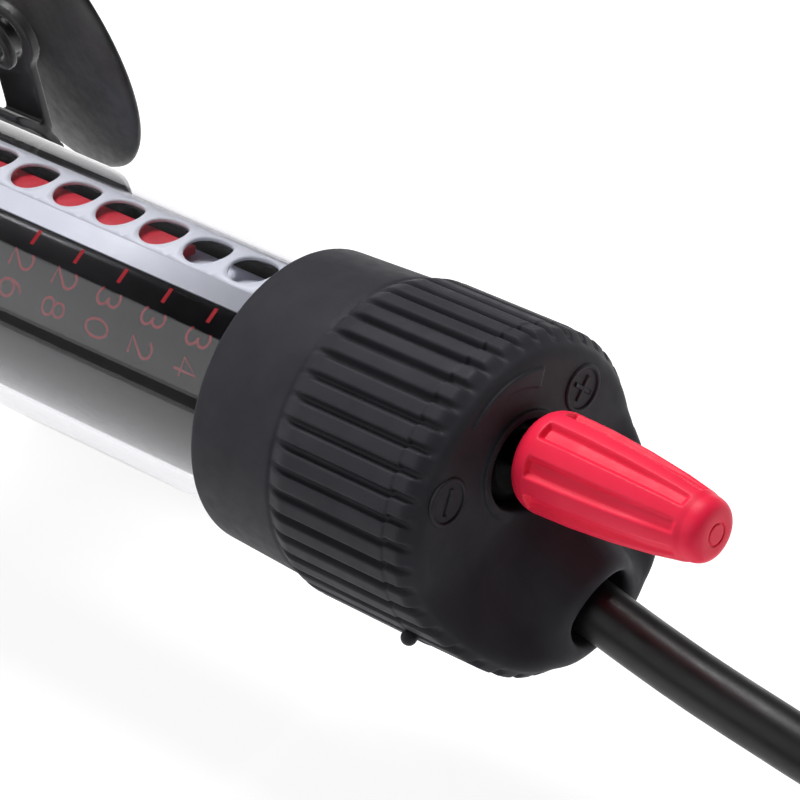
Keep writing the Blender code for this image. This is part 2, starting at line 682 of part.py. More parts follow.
def plug_ring(x, width, height):
    """A rounded rectangle across the plug's length."""
    points = 24
    power = 0.45
    ring = []
    for i in range(points):
        angle = TAU * i / points
        c, s = math.cos(angle), math.sin(angle)
        y = math.copysign(abs(c) ** power, c) * width / 2
        z = math.copysign(abs(s) ** power, s) * height / 2
        ring.append((-x, y, z))
    return ring


def mains_plug():
    levels = [(0, 9, 8), (1.2, 11, 10), (9, 17, 12.4), (15, 33, 13.6), (17, 35, 13.8), (34, 35, 13.8),
              (35.2, 33, 12.2)]
    place = {"parent": None, "at": PLUG_FACE}
    body = lofted("plug_body", [plug_ring(*level) for level in levels], CABLE_BLACK, **place)
    for side, name in ((-1, "plug_pin_left"), (1, "plug_pin_right")):
        along = {"parent": None, "turn": (0, -math.pi / 2, 0)}
        across = Vector((0, side * PIN_SPACING / 2, 0))
        pin_foot = PLUG_FACE + across + Vector((-29, 0, 0))
        rod(name, PIN_R, 25.0, STEEL, 24, at=pin_foot, **along)
        way_foot = pin_foot + Vector((0.3, 0, 0))
        cut(body, rod(f"{name}_way", PIN_R + 0.15, 12, None, 24, at=way_foot, role=CUTTERS, **along))
    relief = [(3.9, 14.0), (4.4, 9.0), (4.4, 8.2), (3.8, 8.2), (3.8, 7.0), (4.9, 7.0), (4.9, 5.4), (4.1, 5.4),
              (4.1, 4.2), (5.3, 4.2), (5.3, 0.3), (3.25, 0.3), (3.25, 14.0)]
    turned("plug_strain_relief", relief, CABLE_BLACK, 24, closed=True, parent=None, at=PLUG_FACE,
           turn=(0, math.pi / 2, 0))


def mains_cable():
    wire("power_cable", cable_path(), CABLE_R, CABLE_BLACK, parent=None)
    angle = math.radians(COIL_TIE_DEGREES)
    middle = coil_lift(COIL_TIE_DEGREES) + COIL_RISE
    centre = COIL_CENTRE + Vector((COIL_LOOP_R * math.cos(angle), COIL_LOOP_R * math.sin(angle), middle))
    band = []
    for i in range(24):
        turn = TAU * i / 24
        c, s = math.cos(turn), math.sin(turn)
        band.append((math.copysign(abs(c) ** 0.5, c), math.copysign(abs(s) ** 0.5, s)))
    place = {"parent": None, "at": centre, "turn": (0, 0, angle)}

    def level(u, grow):
        return [(c * (TIE_HALF_WIDE + grow), u, s * (TIE_HALF_TALL + grow)) for c, s in band]

    ends = [level(-TIE_HALF_LONG, TIE_WALL), level(TIE_HALF_LONG, TIE_WALL)]
    tie = lofted("cable_tie", ends, RUBBER_BLACK, **place)
    space = [level(-2 * TIE_HALF_LONG, 0), level(2 * TIE_HALF_LONG, 0)]
    cut(tie, lofted("cable_tie_space", space, None, role=CUTTERS, **place))


glass_tube()
tube_packing()
cap_housing()
cap_fittings()
knob()
knob_shaft()
temperature_screw()
scale_liner()
indicator()
thermostat()
leads()
heating_element()
clip("cap_end_clip", 0.0)
clip("tube_end_clip", -CLIP_SPACING)
suction_cup("cap_end_cup_top", -1, 0.0, LOOSE_CUP_LEAN)
suction_cup("cap_end_cup_bottom", 1, 0.0)
suction_cup("tube_end_cup_top", -1, -CLIP_SPACING)
suction_cup("tube_end_cup_bottom", 1, -CLIP_SPACING)
mains_cable()
mains_plug()
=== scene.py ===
"""Looks of the submersible aquarium heater: fine surfaces, materials, light and camera round its frame.

Shapes on the heater are drawn in millimetres about the tube's own axis: local +Z points to the cap, local +Y
to the aquarium wall and local -X up. z = 0 is where the cap's ribs begin. PLACE lays them in the row frame.
"""
import math

import bmesh
import bpy
import numpy as np
from mathutils import Matrix, Vector


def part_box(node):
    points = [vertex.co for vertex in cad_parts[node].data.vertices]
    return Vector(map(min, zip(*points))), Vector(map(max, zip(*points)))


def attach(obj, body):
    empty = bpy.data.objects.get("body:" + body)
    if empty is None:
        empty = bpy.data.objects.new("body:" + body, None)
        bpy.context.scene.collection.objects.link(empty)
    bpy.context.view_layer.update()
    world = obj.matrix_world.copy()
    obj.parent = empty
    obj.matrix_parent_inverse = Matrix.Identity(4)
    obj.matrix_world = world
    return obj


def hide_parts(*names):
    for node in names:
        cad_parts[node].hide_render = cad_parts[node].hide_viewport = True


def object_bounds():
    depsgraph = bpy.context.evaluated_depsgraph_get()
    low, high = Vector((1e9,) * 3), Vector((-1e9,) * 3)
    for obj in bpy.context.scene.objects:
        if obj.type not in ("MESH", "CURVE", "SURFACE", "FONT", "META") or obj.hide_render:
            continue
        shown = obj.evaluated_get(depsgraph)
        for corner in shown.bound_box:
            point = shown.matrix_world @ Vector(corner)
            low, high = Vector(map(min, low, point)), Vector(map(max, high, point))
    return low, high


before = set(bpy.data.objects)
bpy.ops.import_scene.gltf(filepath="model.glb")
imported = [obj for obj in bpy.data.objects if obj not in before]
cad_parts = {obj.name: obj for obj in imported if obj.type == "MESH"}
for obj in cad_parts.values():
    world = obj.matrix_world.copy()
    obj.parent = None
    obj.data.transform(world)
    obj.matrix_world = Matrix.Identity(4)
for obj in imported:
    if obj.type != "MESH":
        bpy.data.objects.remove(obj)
cad_low, cad_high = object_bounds()

MM = 0.001
TAU = 2 * math.pi

# ---------------------------------------------------------------- places read from the frame

glass_low, glass_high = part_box("glass_tube")
knob_low, knob_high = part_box("knob")
cap_low, cap_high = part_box("cap_housing")
AXIS_Y = (glass_low.y + glass_high.y) / 2
AXIS_Z = (glass_low.z + glass_high.z) / 2
GLASS_TOP_Z = 2.0
RIBS_X = glass_high.x - GLASS_TOP_Z * MM
TURN = Matrix(((0, 0, 1), (0, 1, 0), (-1, 0, 0))).to_4x4()
PLACE = Matrix.Translation((RIBS_X, AXIS_Y, AXIS_Z)) @ TURN @ Matrix.Scale(MM, 4)
ROW_MM = Matrix.Scale(MM, 4)

GLASS_R = (glass_high.y - glass_low.y) / 2 / MM
GLASS_END_Z = (glass_low.x - RIBS_X) / MM
GLASS_EDGE = 0.3
BORE_R = 12.24
BORE_START_Z = GLASS_END_Z + GLASS_R + 0.4
BORE_STOP_Z = GLASS_TOP_Z - 0.8
LINER_R = 12.0

CAP_RIM_Z = (cap_low.x - RIBS_X) / MM
CAP_LOW = (-17.8, -17.8, -11.4)
CAP_HIGH = (17.8, 17.8, 29.2)
CAP_FACE_Z = 20.0
FACE_LIFT = 6.6
COLLAR_Z = (-11.3, -0.6)
COLLAR_R = (15.95, 16.42)
GROOVE_Z = (0.0, 16.0, 24.0)
GROOVE_R = (16.25, 16.35, 16.3)
COLLAR_BORE_R = 14.25
COLLAR_BORE_Z = 2.3
RIBS_BORE_R = 13.0
RIBS_BORE_Z = 16.4
RIB_COUNT = 42
RIB_HEIGHT = 0.85
RIB_FLANK = (0.27, 0.44)
RIB_START_Z = (0.1, 2.6)
RIB_END_Z = (17.6, 19.3)
PARTING_Z = 16.0
PARTING_SLIP = 0.012
PARTING_STEP = 0.1
FLASH_AT = (7.94, -15.6, PARTING_Z)
FLASH_R = 0.85
KNOB_HOLE = (-4.85, -0.2)
KNOB_HOLE_R = 4.7
LIP_R = 5.25
LIP_HALF_WALL = 0.5
LIP_HEIGHT = 0.45
LIP_FOOT_Z = 18
GLAND = (
    (0, 19.0), (2.4, 19.0), (2.9, 19.35), (3.5, 19.4), (4.05, 19.1), (4.4, 18.4), (4.4, 12.4), (0, 12.4),
)
CRESCENT_DEGREES = (148, 184, 213)
CRESCENT_INSIDE = (7.95, 8.86, 9.9)
CRESCENT_OUTSIDE = 10.0
CRESCENT_MM_A_DEGREE = 0.17
CRESCENT_HEIGHT = 0.28
CRESCENT_FOOT_Z = 19
BOSS_LEAN = math.radians(20)
BOSS_MOUTH = (11.1, 0.0, 27.0)
BOSS_AXIS = (math.sin(BOSS_LEAN), 0.0, math.cos(BOSS_LEAN))
BOSS_MOUTH_R = 5.6
BOSS_TAPER = 0.30
BOSS_FOOT_Z = 15
CABLE_R = 3.0
CABLE_BORE_R = 4.2
PLUS_MARK = ("plus", (-7.3, 9.7), 127.0)
MINUS_MARK = ("minus", (-7.65, -10.5), 234.0)
MARK_RING_R = 2.35
MARK_RING_HEIGHT = 0.22
MARK_BAR_HALF = 1.4
MARK_BAR_HEIGHT = 0.2
MARK_WIDTH = 0.5
RIDGE_SECTION = (
    (-0.5, -0.6), (-0.5, 0.3), (-0.36, 0.8), (-0.12, 1.0), (0.12, 1.0), (0.36, 0.8), (0.5, 0.3), (0.5, -0.6),
)

KNOB_Y = ((knob_low.y + knob_high.y) / 2 - AXIS_Y) / MM
KNOB_X = -((knob_low.z + knob_high.z) / 2 - AXIS_Z) / MM
KNOB_BASE_Z = (knob_low.x - RIBS_X) / MM
KNOB_LENGTH = (knob_high.x - knob_low.x) / MM
KNOB_FLUTES = 8
KNOB_PHASE = math.radians(35)
KNOB_WIDEST_R = 5.4
KNOB_SIDE_Z = (0, 2.4, 6.8, 11.8, 16.8, 20.0, 20.6, 22.4)
KNOB_SIDE_R = (5.0, 5.3, 5.18, 4.8, 4.2, 3.65, 3.45, 3.15)
FLUTE_FLANK = (0.14, 0.30)
FLUTE_DEPTH = 0.66
FLUTE_START_Z = (2.5, 2.9)
FLUTE_SHALLOWS_Z = (10.8, 19.8)
FLUTE_SHALLOWS_BY = 0.55
FLUTE_END_Z = (19.4, 20.0)
GATE_R = 1.15
GATE_HALF_WIDE = 0.12
GATE_DEPTH = 0.14
KNOB_BORE_R = 2.25
KNOB_BORE_Z = 9.5

SCALE_ANGLE = math.radians(170.5)
WINDOW_ANGLE = SCALE_ANGLE + math.radians(-2.5)
STRIP_START = SCALE_ANGLE + math.radians(-52.5)
STRIP_STOP = SCALE_ANGLE + math.radians(24.5)
DEGREE_TRAVEL = 3.2175
WINDOW_DEGREES = 2
WINDOW_PITCH = WINDOW_DEGREES * DEGREE_TRAVEL
WINDOW_R = 2.6
WINDOW_COUNT = 8
FIRST_WINDOW_Z = -17.0
STRIP_TOP_Z = -12.2
STRIP_END_Z = -70.0
STRIP_CORNER = 1.4
SHARP_CORNER = 0.001
WELD = 1e-6
SLEEVE_TOP_Z = -13.6
SLEEVE_END_Z = -112.0
SLEEVE_GAP = math.radians(0.4)
FILM_WALL = 0.3
FIRST_DEGREES = 34
DIGIT_WIDE = 2.1
DIGIT_TALL = 3.1
DIGIT_STROKE = 0.28
DIGIT_TURNS = (math.radians(213.7) - WINDOW_ANGLE, math.radians(228.5) - WINDOW_ANGLE)
TICK_TURNS = (math.radians(197.3) - WINDOW_ANGLE, math.radians(205.2) - WINDOW_ANGLE)
TICK_STROKE = 0.5
TICK_LEAD = 0.75
INK_LIFT = 0.06
INK_WALL = 0.04

ARM_Z = -62.4
CLIP_SPACING = 122.0
CUP_OFFSET = 19.6
CUP_PIVOT_Y = 13.4
CUP_HOLE_R = 2.7
CLIP_LOW = (-24.0, -9.6, ARM_Z - 31.8)
CLIP_HIGH = (24.0, 16.5, ARM_Z + 4.6)
SPRING_R = 14.85
SPRING_HALF_WALL = 0.5
SPRING_TOP = 3.15
SPRING_END = -31.6
SPRING_MOUTH_Y = -9.45
SPRING_LIP = 9.4
SPRING_LIP_SKIN = 0.05
SKIRT_Y = 9.3
SKIRT_TOP = -4
ARM_LOW = (7.6, 12.8, -3.05)
ARM_HIGH = (CUP_OFFSET, 14.0, 3.05)
ARM_EDGE = 0.35
EYE_R = 4.2875
EYE_HALF_WALL = 0.6375
PAD_LOW = (-4, 14.4, -31.0)
PAD_HIGH = (4, 16.4, -20.2)
PAD_EDGE = 0.3
CUP_PROFILE = (
    (0, 2.0), (2.5, 2.05), (6.0, 2.25), (10.0, 2.6), (13.5, 2.95), (16.4, 3.2), (18.4, 3.2), (18.85, 3.1),
    (19.0, 2.85), (18.85, 2.6), (18.2, 2.3), (16.0, 2.0), (13.0, 1.75), (10.0, 1.6), (7.0, 1.45), (4.6, 1.3),
    (3.4, 1.15), (2.6, 0.8), (2.3, 0.3), (2.3, -1.1), (2.8, -1.2), (3.3, -1.3), (3.4, -1.5), (3.4, -2.0),
    (3.25, -2.2), (2.1, -2.2), (1.85, -2.05), (1.8, -1.7), (1.8, -0.4), (1.5, -0.2), (0, -0.2),
)
UPPER, LOWER = -1, 1
STRAIGHT = (0.0, 0.0)
LOOSE_CUP_LEAN = (math.radians(9.5), math.radians(5.0))

TABLE_Z = -38.6
CABLE_SIDES = 28
CABLE_IN_BOSS = (19.5, 10.0)
CABLE_AT_MOUTH = Vector((0.5, 0, 0))
CABLE_FALLS = ((15.05, 0.0, 38.3), (17.7, 0.1, 49.9), (21.7, 1.0, 62.0), (28.8, 2.0, 75.0))
CABLE_ON_TABLE = ((174, -25), (171, -45), (153, -66), (133.4, -84.7))
COIL_CENTRE = Vector((165.0, -130.0, TABLE_Z + CABLE_R))
COIL_LOOP_R = 50.0
COIL_WAVE = 1.5
COIL_WAVES_A_TURN = 0.7
COIL_START_DEGREES = 150
COIL_STOP_DEGREES = 1260
COIL_STEP_DEGREES = 3
COIL_RISE = 6.5
PLUG_FACE = Vector((62.0, -196.0, TABLE_Z + 7.2))

AIM = Vector((0.0884, -0.0133, 0.0022))
CAMERA_AZIMUTH = math.radians(49.45)
CAMERA_ELEVATION = math.radians(38.76)
CAMERA_ROLL = math.radians(-12.22)
CAMERA_DISTANCE = 0.4541
CAMERA_LENS = 202.7
SENSOR_WIDTH = 36
CLIP_START = 0.01
FLOOR_GREYS = ((0.36, 0.36, 0.36), (0.40, 0.40, 0.40))
FLOOR_ROUGHNESS = 0.7
FLOOR_GLOW = 0.85
FLOOR_HALF = 3.0
FLOOR_GAP = 0.0003
HORIZON_GLOW = 1.7
CEILING_GLOW = 0.10
HORIZON_END = 0.34
CEILING_START = 0.72
FRONT_SOFTBOX = {"centre": (-0.35, -0.66, 0.54), "size": (1.9, 0.75), "glow": 1.15, "diffuse": 0.0}
TOP_LIGHT = {"centre": (-0.15, 0.30, 0.85), "size": (0.5, 0.4), "glow": 14.0, "diffuse": 1.0,
             "aim": (0.06, 0, 0)}


# ---------------------------------------------------------------- building pieces

def piece(name, points, faces, finish, body, slot, stands_for=(), place=PLACE, smooth=True):
    """A mesh from points in millimetres, riding a body of the frame."""
    mesh = bpy.data.meshes.new(name)
    mesh.from_pydata([tuple(p) for p in points], [], faces)
    mesh.transform(place)
    if smooth:
        mesh.polygons.foreach_set("use_smooth", [True] * len(mesh.polygons))
    mesh.materials.append(finish)
    made = bpy.data.objects.new(name, mesh)
    bpy.context.scene.collection.objects.link(made)
    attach(made, body)
    if stands_for:
        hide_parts(*stands_for)
    return made


def turned(name, profile, finish, body, slot, steps, **more):
    """A surface turned about +Z from (radius, z) points; a radius of 0 closes it on the axis."""
    points, rings = [], []
    for radius, z in profile:
        if radius == 0:
            rings.append([len(points)])
            points.append((0, 0, z))
            continue
        start = len(points)
        for i in range(steps):
            angle = TAU * i / steps
            points.append((radius * math.cos(angle), radius * math.sin(angle), z))
        rings.append(list(range(start, start + steps)))
    faces = []
    for upper, lower in zip(rings, rings[1:]):
        for i in range(steps):
            j = (i + 1) % steps
            if len(upper) == 1:
                faces.append((upper[0], lower[i], lower[j]))
            elif len(lower) == 1:
                faces.append((upper[i], lower[0], upper[j]))
            else:
                faces.append((upper[i], lower[i], lower[j], upper[j]))
    return piece(name, points, faces, finish, body, slot, **more)


def smooth_min(a, b, soft):
    """The lesser of two fields, rounded where they meet."""
    share = np.clip(0.5 + 0.5 * (b - a) / soft, 0, 1)
    return b + (a - b) * share - soft * share * (1 - share)


def smooth_max(a, b, soft):
    """The greater of two fields, rounded where they meet."""
    return -smooth_min(-a, -b, soft)


def ease(value, start, stop):
    """0 before start, 1 after stop, with a smooth rise between."""
    t = np.clip((value - start) / (stop - start), 0, 1)
    return t * t * (3 - 2 * t)


def block_field(x, y, z, low, high, radius):
    """Distance-like field of a box with rounded edges."""
    centre = [(a + b) / 2 for a, b in zip(low, high)]
    half = [(b - a) / 2 - radius for a, b in zip(low, high)]
    over = [np.abs(v - c) - h for v, c, h in zip((x, y, z), centre, half)]
    outside = np.sqrt(sum(np.maximum(o, 0) ** 2 for o in over))
    inside = np.minimum(np.maximum(np.maximum(over[0], over[1]), over[2]), 0)
    return outside + inside - radius


def solid(name, field, low, high, step, finish, body, slot, **more):
    """The closed surface where field(x, y, z) is zero, negative inside, meshed by surface nets."""
    axes = [np.arange(a - 2 * step, b + 3 * step, step, dtype=np.float32) for a, b in zip(low, high)]
    value = field(*np.meshgrid(*axes, indexing="ij"))
    inside = value < 0
    shape = np.array(inside.shape)
    near = np.zeros(shape - 1, bool)
    corner = inside[:-1, :-1, :-1]
    for dx in (0, 1):
        for dy in (0, 1):
            for dz in (0, 1):
                near |= inside[dx:shape[0] - 1 + dx, dy:shape[1] - 1 + dy, dz:shape[2] - 1 + dz] != corner
    cells = np.argwhere(near)
    number = np.full(near.shape, -1)
    number[tuple(cells.T)] = np.arange(len(cells))
    place = np.zeros((len(cells), 3))
    count = np.zeros(len(cells))
    faces = []
    for axis in range(3):
        ahead = [slice(None)] * 3
        behind = [slice(None)] * 3
        ahead[axis] = slice(1, None)
        behind[axis] = slice(None, -1)
        crossing = np.argwhere(inside[tuple(behind)] != inside[tuple(ahead)])
        end = crossing.copy()
        end[:, axis] += 1
        a, b = value[tuple(crossing.T)], value[tuple(end.T)]
        point = crossing + 0.0
        point[:, axis] += a / (a - b)
        u, v = (axis + 1) % 3, (axis + 2) % 3
        ring = []
        for du, dv in ((1, 1), (0, 1), (0, 0), (1, 0)):
            cell = crossing.copy()
            cell[:, u] -= du
            cell[:, v] -= dv
            index = number[tuple(cell.T)]
            np.add.at(place, index, point)
            np.add.at(count, index, 1)
            ring.append(index)
        quad = np.stack(ring, 1)
        outward = (a < 0)[:, None]
        faces.append(np.where(outward, quad, quad[:, ::-1]))
    place /= count[:, None]
    spot = [axes[k][0] + place[:, k] * step for k in range(3)]
    for _ in range(3):
        spot = pull_to_surface(field, spot, step)
    return piece(name, np.stack(spot, 1), np.concatenate(faces).tolist(), finish, body, slot, **more)


def pull_to_surface(field, spot, step):
    """One Newton step of every point towards the zero of the field, of half a cell at most."""
    flat = 1e-6
    reach = step / 4
    here = field(*spot)
    slope = []
    for k in range(3):
        side = [v + reach * (i == k) for i, v in enumerate(spot)]
        back = [v - reach * (i == k) for i, v in enumerate(spot)]
        slope.append((field(*side) - field(*back)) / (2 * reach))
    steep = sum(s * s for s in slope) + flat
    limit = step / 2
    return [v - np.clip(here * s / steep, -limit, limit) for v, s in zip(spot, slope)]


def smooth_path(controls, per_span):
    """Catmull-Rom points through the control points."""
    knots = [Vector(c) for c in controls]
    knots = [2 * knots[0] - knots[1], *knots, 2 * knots[-1] - knots[-2]]
    path = []
    for a, b, c, d in zip(knots, knots[1:], knots[2:], knots[3:]):
        for i in range(per_span):
            t = i / per_span
            path.append(
                0.5 * (2 * b + (c - a) * t + (2 * a - 5 * b + 4 * c - d) * t**2
                       + (3 * b - a - 3 * c + d) * t**3)
            )
    path.append(knots[-2])
    return path


def cord(name, path, radius, finish, body, slot, sides, **more):
    """A round cord swept along a path, with its ends closed."""
    path = [Vector(p) for p in path]
    along = [(b - a).normalized() for a, b in zip(path, path[1:])]
    along = [along[0]] + [(a + b).normalized() for a, b in zip(along, along[1:])] + [along[-1]]
    side = along[0].orthogonal().normalized()
    points = []
    for centre, ahead in zip(path, along):
        side = (side - ahead * side.dot(ahead)).normalized()
        other = ahead.cross(side)
        for i in range(sides):
            angle = TAU * i / sides
            points.append(centre + (side * math.cos(angle) + other * math.sin(angle)) * radius)
    faces = []
    for k in range(len(path) - 1):
        for i in range(sides):
            j = (i + 1) % sides
            faces.append((k * sides + i, k * sides + j, (k + 1) * sides + j, (k + 1) * sides + i))
    faces.append(tuple(reversed(range(sides))))
    faces.append(tuple(range(len(points) - sides, len(points))))
    return piece(name, points, faces, finish, body, slot, **more)


# ---------------------------------------------------------------- materials

class Finish:
    """A node material with a Principled shader and coordinates in millimetres."""

    def __init__(self, name):
        self.made = bpy.data.materials.new(name)
        self.made.use_nodes = True
        self.tree = self.made.node_tree
        self.shader = self.tree.nodes["Principled BSDF"]
        self.output = self.tree.nodes["Material Output"]
        coordinates = self.tree.nodes.new("ShaderNodeTexCoord")
        scale = self.tree.nodes.new("ShaderNodeVectorMath")
        scale.operation = "SCALE"
        scale.inputs["Scale"].default_value = 1 / MM
        self.link(coordinates.outputs["Object"], scale.inputs[0])
        self.place = scale.outputs[0]

    def link(self, source, target):
        self.tree.links.new(source, target)

    def put(self, socket, value):
        self.shader.inputs[socket].default_value = value

    def noise(self, size, detail=4.0, roughness=0.55, distortion=0.0):
        """Noise whose features are about size millimetres across."""
        node = self.tree.nodes.new("ShaderNodeTexNoise")
        node.inputs["Scale"].default_value = 1 / size
        node.inputs["Detail"].default_value = detail
        node.inputs["Roughness"].default_value = roughness
        node.inputs["Distortion"].default_value = distortion
        self.link(self.place, node.inputs["Vector"])
        return node.outputs["Fac"]

    def spread(self, source, low, high):
        """The middle of a noise's range stretched from low to high."""
        node = self.tree.nodes.new("ShaderNodeMapRange")
        node.inputs["From Min"].default_value = 0.3
        node.inputs["From Max"].default_value = 0.7
        node.inputs["To Min"].default_value = low
        node.inputs["To Max"].default_value = high
        self.link(source, node.inputs["Value"])
        return node.outputs["Result"]

    def mix(self, share, one, two):
        """A colour that goes from one to two as share goes from 0 to 1."""
        node = self.tree.nodes.new("ShaderNodeMix")
        node.data_type = "RGBA"
        node.inputs["A"].default_value = (*one, 1)
        node.inputs["B"].default_value = (*two, 1)
        self.link(share, node.inputs["Factor"])
        return node.outputs["Result"]

    def bump(self, source, height, below=None):
        """A normal raised by the source, height millimetres tall, over another bump below it."""
        node = self.tree.nodes.new("ShaderNodeBump")
        node.inputs["Strength"].default_value = 1.0
        node.inputs["Distance"].default_value = height * MM
        self.link(source, node.inputs["Height"])
        if below:
            self.link(below, node.inputs["Normal"])
        return node.outputs["Normal"]


def moulded(name, dark, light, roughness, grain, height, patch=6.0, specular=0.5):
    """Moulded plastic or rubber: mottled colour, uneven gloss and a fine grain."""
    finish = Finish(name)
    mottle = finish.noise(patch, 5)
    finish.link(finish.mix(finish.spread(mottle, 0, 1), dark, light), finish.shader.inputs["Base Color"])
    worn = finish.noise(patch / 3, 3)
    rough = finish.spread(worn, roughness - 0.06, roughness + 0.06)
    finish.link(rough, finish.shader.inputs["Roughness"])
    finish.put("Specular IOR Level", specular)
    coarse = finish.bump(finish.noise(grain * 9, 2), height * 2)
    finish.link(finish.bump(finish.noise(grain, 3), height, below=coarse), finish.shader.inputs["Normal"])
    return finish.made


def clear_glass(name, tint):
    """Clear glass that lets light through to what it covers."""
    finish = Finish(name)
    finish.tree.nodes.remove(finish.shader)
    glass = finish.tree.nodes.new("ShaderNodeBsdfGlass")
    glass.inputs["Color"].default_value = (*tint, 1)
    glass.inputs["IOR"].default_value = 1.47
    finish.link(finish.spread(finish.noise(9.0, 3), 0.0, 0.004), glass.inputs["Roughness"])
    finish.link(finish.bump(finish.noise(30.0, 1), 0.02), glass.inputs["Normal"])
    through = finish.tree.nodes.new("ShaderNodeBsdfTransparent")
    through.inputs["Color"].default_value = (*(0.94 * t for t in tint), 1)
    path = finish.tree.nodes.new("ShaderNodeLightPath")
    either = finish.tree.nodes.new("ShaderNodeMath")
    either.operation = "MAXIMUM"
    finish.link(path.outputs["Is Shadow Ray"], either.inputs[0])
    finish.link(path.outputs["Is Diffuse Ray"], either.inputs[1])
    blend = finish.tree.nodes.new("ShaderNodeMixShader")
    finish.link(either.outputs[0], blend.inputs[0])
    finish.link(glass.outputs[0], blend.inputs[1])
    finish.link(through.outputs[0], blend.inputs[2])
    finish.link(blend.outputs[0], finish.output.inputs["Surface"])
    return finish.made


def metal(name, colour, roughness, size=1.2):
    """Metal with fine drawn or rolled streaks."""
    finish = Finish(name)
    streak = finish.noise(size, 6, 0.7, 1.5)
    darker = tuple(0.72 * c for c in colour)
    finish.link(finish.mix(finish.spread(streak, 0, 1), darker, colour), finish.shader.inputs["Base Color"])
    finish.link(finish.spread(streak, roughness - 0.08, roughness + 0.1), finish.shader.inputs["Roughness"])
    finish.put("Metallic", 1.0)
    finish.link(finish.bump(streak, 0.01), finish.shader.inputs["Normal"])
    return finish.made


CAP_BLACK = moulded("cap_black_moulded", (0.029, 0.029, 0.035), (0.038, 0.038, 0.045),
                    roughness=0.55, grain=0.16, height=0.006, patch=5.0, specular=0.12)
CLIP_BLACK = moulded("clip_black_moulded", (0.018, 0.018, 0.020), (0.030, 0.030, 0.033),
                     roughness=0.45, grain=0.2, height=0.006, patch=5.0, specular=0.45)
RUBBER_BLACK = moulded("rubber_black_plain", (0.010, 0.010, 0.011), (0.018, 0.018, 0.020),
                       roughness=0.45, grain=0.25, height=0.01, patch=4.0)
CUP_RUBBER = moulded("cup_rubber_dusty", (0.005, 0.005, 0.006), (0.030, 0.030, 0.033),
                     roughness=0.42, grain=0.5, height=0.01, patch=3.5, specular=0.4)
CABLE_BLACK = moulded("cable_black_sheath", (0.008, 0.008, 0.009), (0.013, 0.013, 0.014),
                      roughness=0.40, grain=0.35, height=0.008, patch=8.0, specular=0.35)
# Near-black wet rubber of the gland. The knob's shaft takes it too, as painted shade for the shadow it sits
# in under the knob.
GLAND_BLACK_AND_SHAFT_SHADE = moulded("gland_black_wet_and_shaft_painted_shade", (0.002, 0.002, 0.002), (0.006, 0.003, 0.003),
                      roughness=0.50, grain=0.5, height=0.03, patch=2.0, specular=0.05)
KNOB_RED = moulded("knob_red_moulded", (0.97, 0.020, 0.066), (1.0, 0.024, 0.080),
                   roughness=0.46, grain=0.22, height=0.004, patch=7.0, specular=0.22)
INDICATOR_RED = moulded("indicator_red_plain", (0.46, 0.008, 0.022), (0.60, 0.012, 0.032),
                        roughness=0.45, grain=0.3, height=0.004)
PRINT_RED = moulded("print_red_ink", (0.27, 0.006, 0.012), (0.33, 0.008, 0.015),
                    roughness=0.50, grain=0.2, height=0.002, patch=3.0, specular=0.2)
THIN_RED = moulded("print_red_thin", (0.17, 0.006, 0.013), (0.24, 0.008, 0.018),
                   roughness=0.50, grain=0.2, height=0.002, patch=1.0, specular=0.2)
PRINT_WHITE = moulded("print_white_film", (0.72, 0.74, 0.82), (0.78, 0.80, 0.87),
                      roughness=0.50, grain=0.4, height=0.003, patch=9.0)
PRINT_BLACK = moulded("print_black_film", (0.0035, 0.0035, 0.004), (0.006, 0.006, 0.007),
                      roughness=0.35, grain=0.4, height=0.003, patch=9.0, specular=0.3)
BOARD = moulded("board_resin", (0.14, 0.07, 0.03), (0.24, 0.13, 0.06),
                roughness=0.55, grain=0.4, height=0.01, patch=3.0)
CERAMIC = moulded("ceramic_bisque", (0.70, 0.67, 0.60), (0.82, 0.79, 0.72),
                  roughness=0.70, grain=0.3, height=0.02, patch=4.0)
FIBRE = moulded("fibre_pressed", (0.74, 0.72, 0.66), (0.90, 0.88, 0.82),
                roughness=0.92, grain=0.35, height=0.15, patch=1.2)
STEEL = metal("steel_drawn", (0.62, 0.62, 0.64), 0.30)
BRASS = metal("brass_rolled", (0.78, 0.56, 0.24), 0.30)
RESISTANCE = metal("resistance_drawn", (0.40, 0.37, 0.34), 0.38, 0.5)
TUBE_GLASS = clear_glass("tube_glass_clear", (0.985, 0.985, 0.995))
LAMP_GLASS = clear_glass("lamp_glass_amber", (0.96, 0.72, 0.52))


# ---------------------------------------------------------------- cap

def face_lift(x):
    """How far the cap's end stands proud of the flat face on the cable's side."""
    return FACE_LIFT * ease(x, -0.5, 14.0)


def cap_side_radius(turn, z, lift):
    """Radius of the cap's side: a plain drafted collar, then ribs with round starts and stepped ends."""
    collar = np.interp(z, COLLAR_Z, COLLAR_R)
    groove = np.interp(z, GROOVE_Z, GROOVE_R)
    plain = collar + (groove - collar) * ease(z, -0.3, 0.3)
    past_parting = ease(z, PARTING_Z - 0.1, PARTING_Z + 0.1)
    share = (turn + PARTING_SLIP * past_parting) * RIB_COUNT / TAU
    share = np.abs(share - np.round(share))
    crest = 1 - ease(share, *RIB_FLANK)
    rise = np.sqrt(ease(z, *RIB_START_Z))
    fall = 1 - PARTING_STEP * past_parting - (1 - PARTING_STEP) * ease(z - lift, *RIB_END_Z)
    return plain + RIB_HEIGHT * crest * rise * fall


def boss_distances(x, y, z):
    """How far up the boss's axis from its mouth, and how far out from that axis."""
    dx, dy, dz = x - BOSS_MOUTH[0], y - BOSS_MOUTH[1], z - BOSS_MOUTH[2]
    up = dx * BOSS_AXIS[0] + dz * BOSS_AXIS[2]
    out = np.sqrt(np.maximum(dx * dx + dy * dy + dz * dz - up * up, 0))
    return up, out


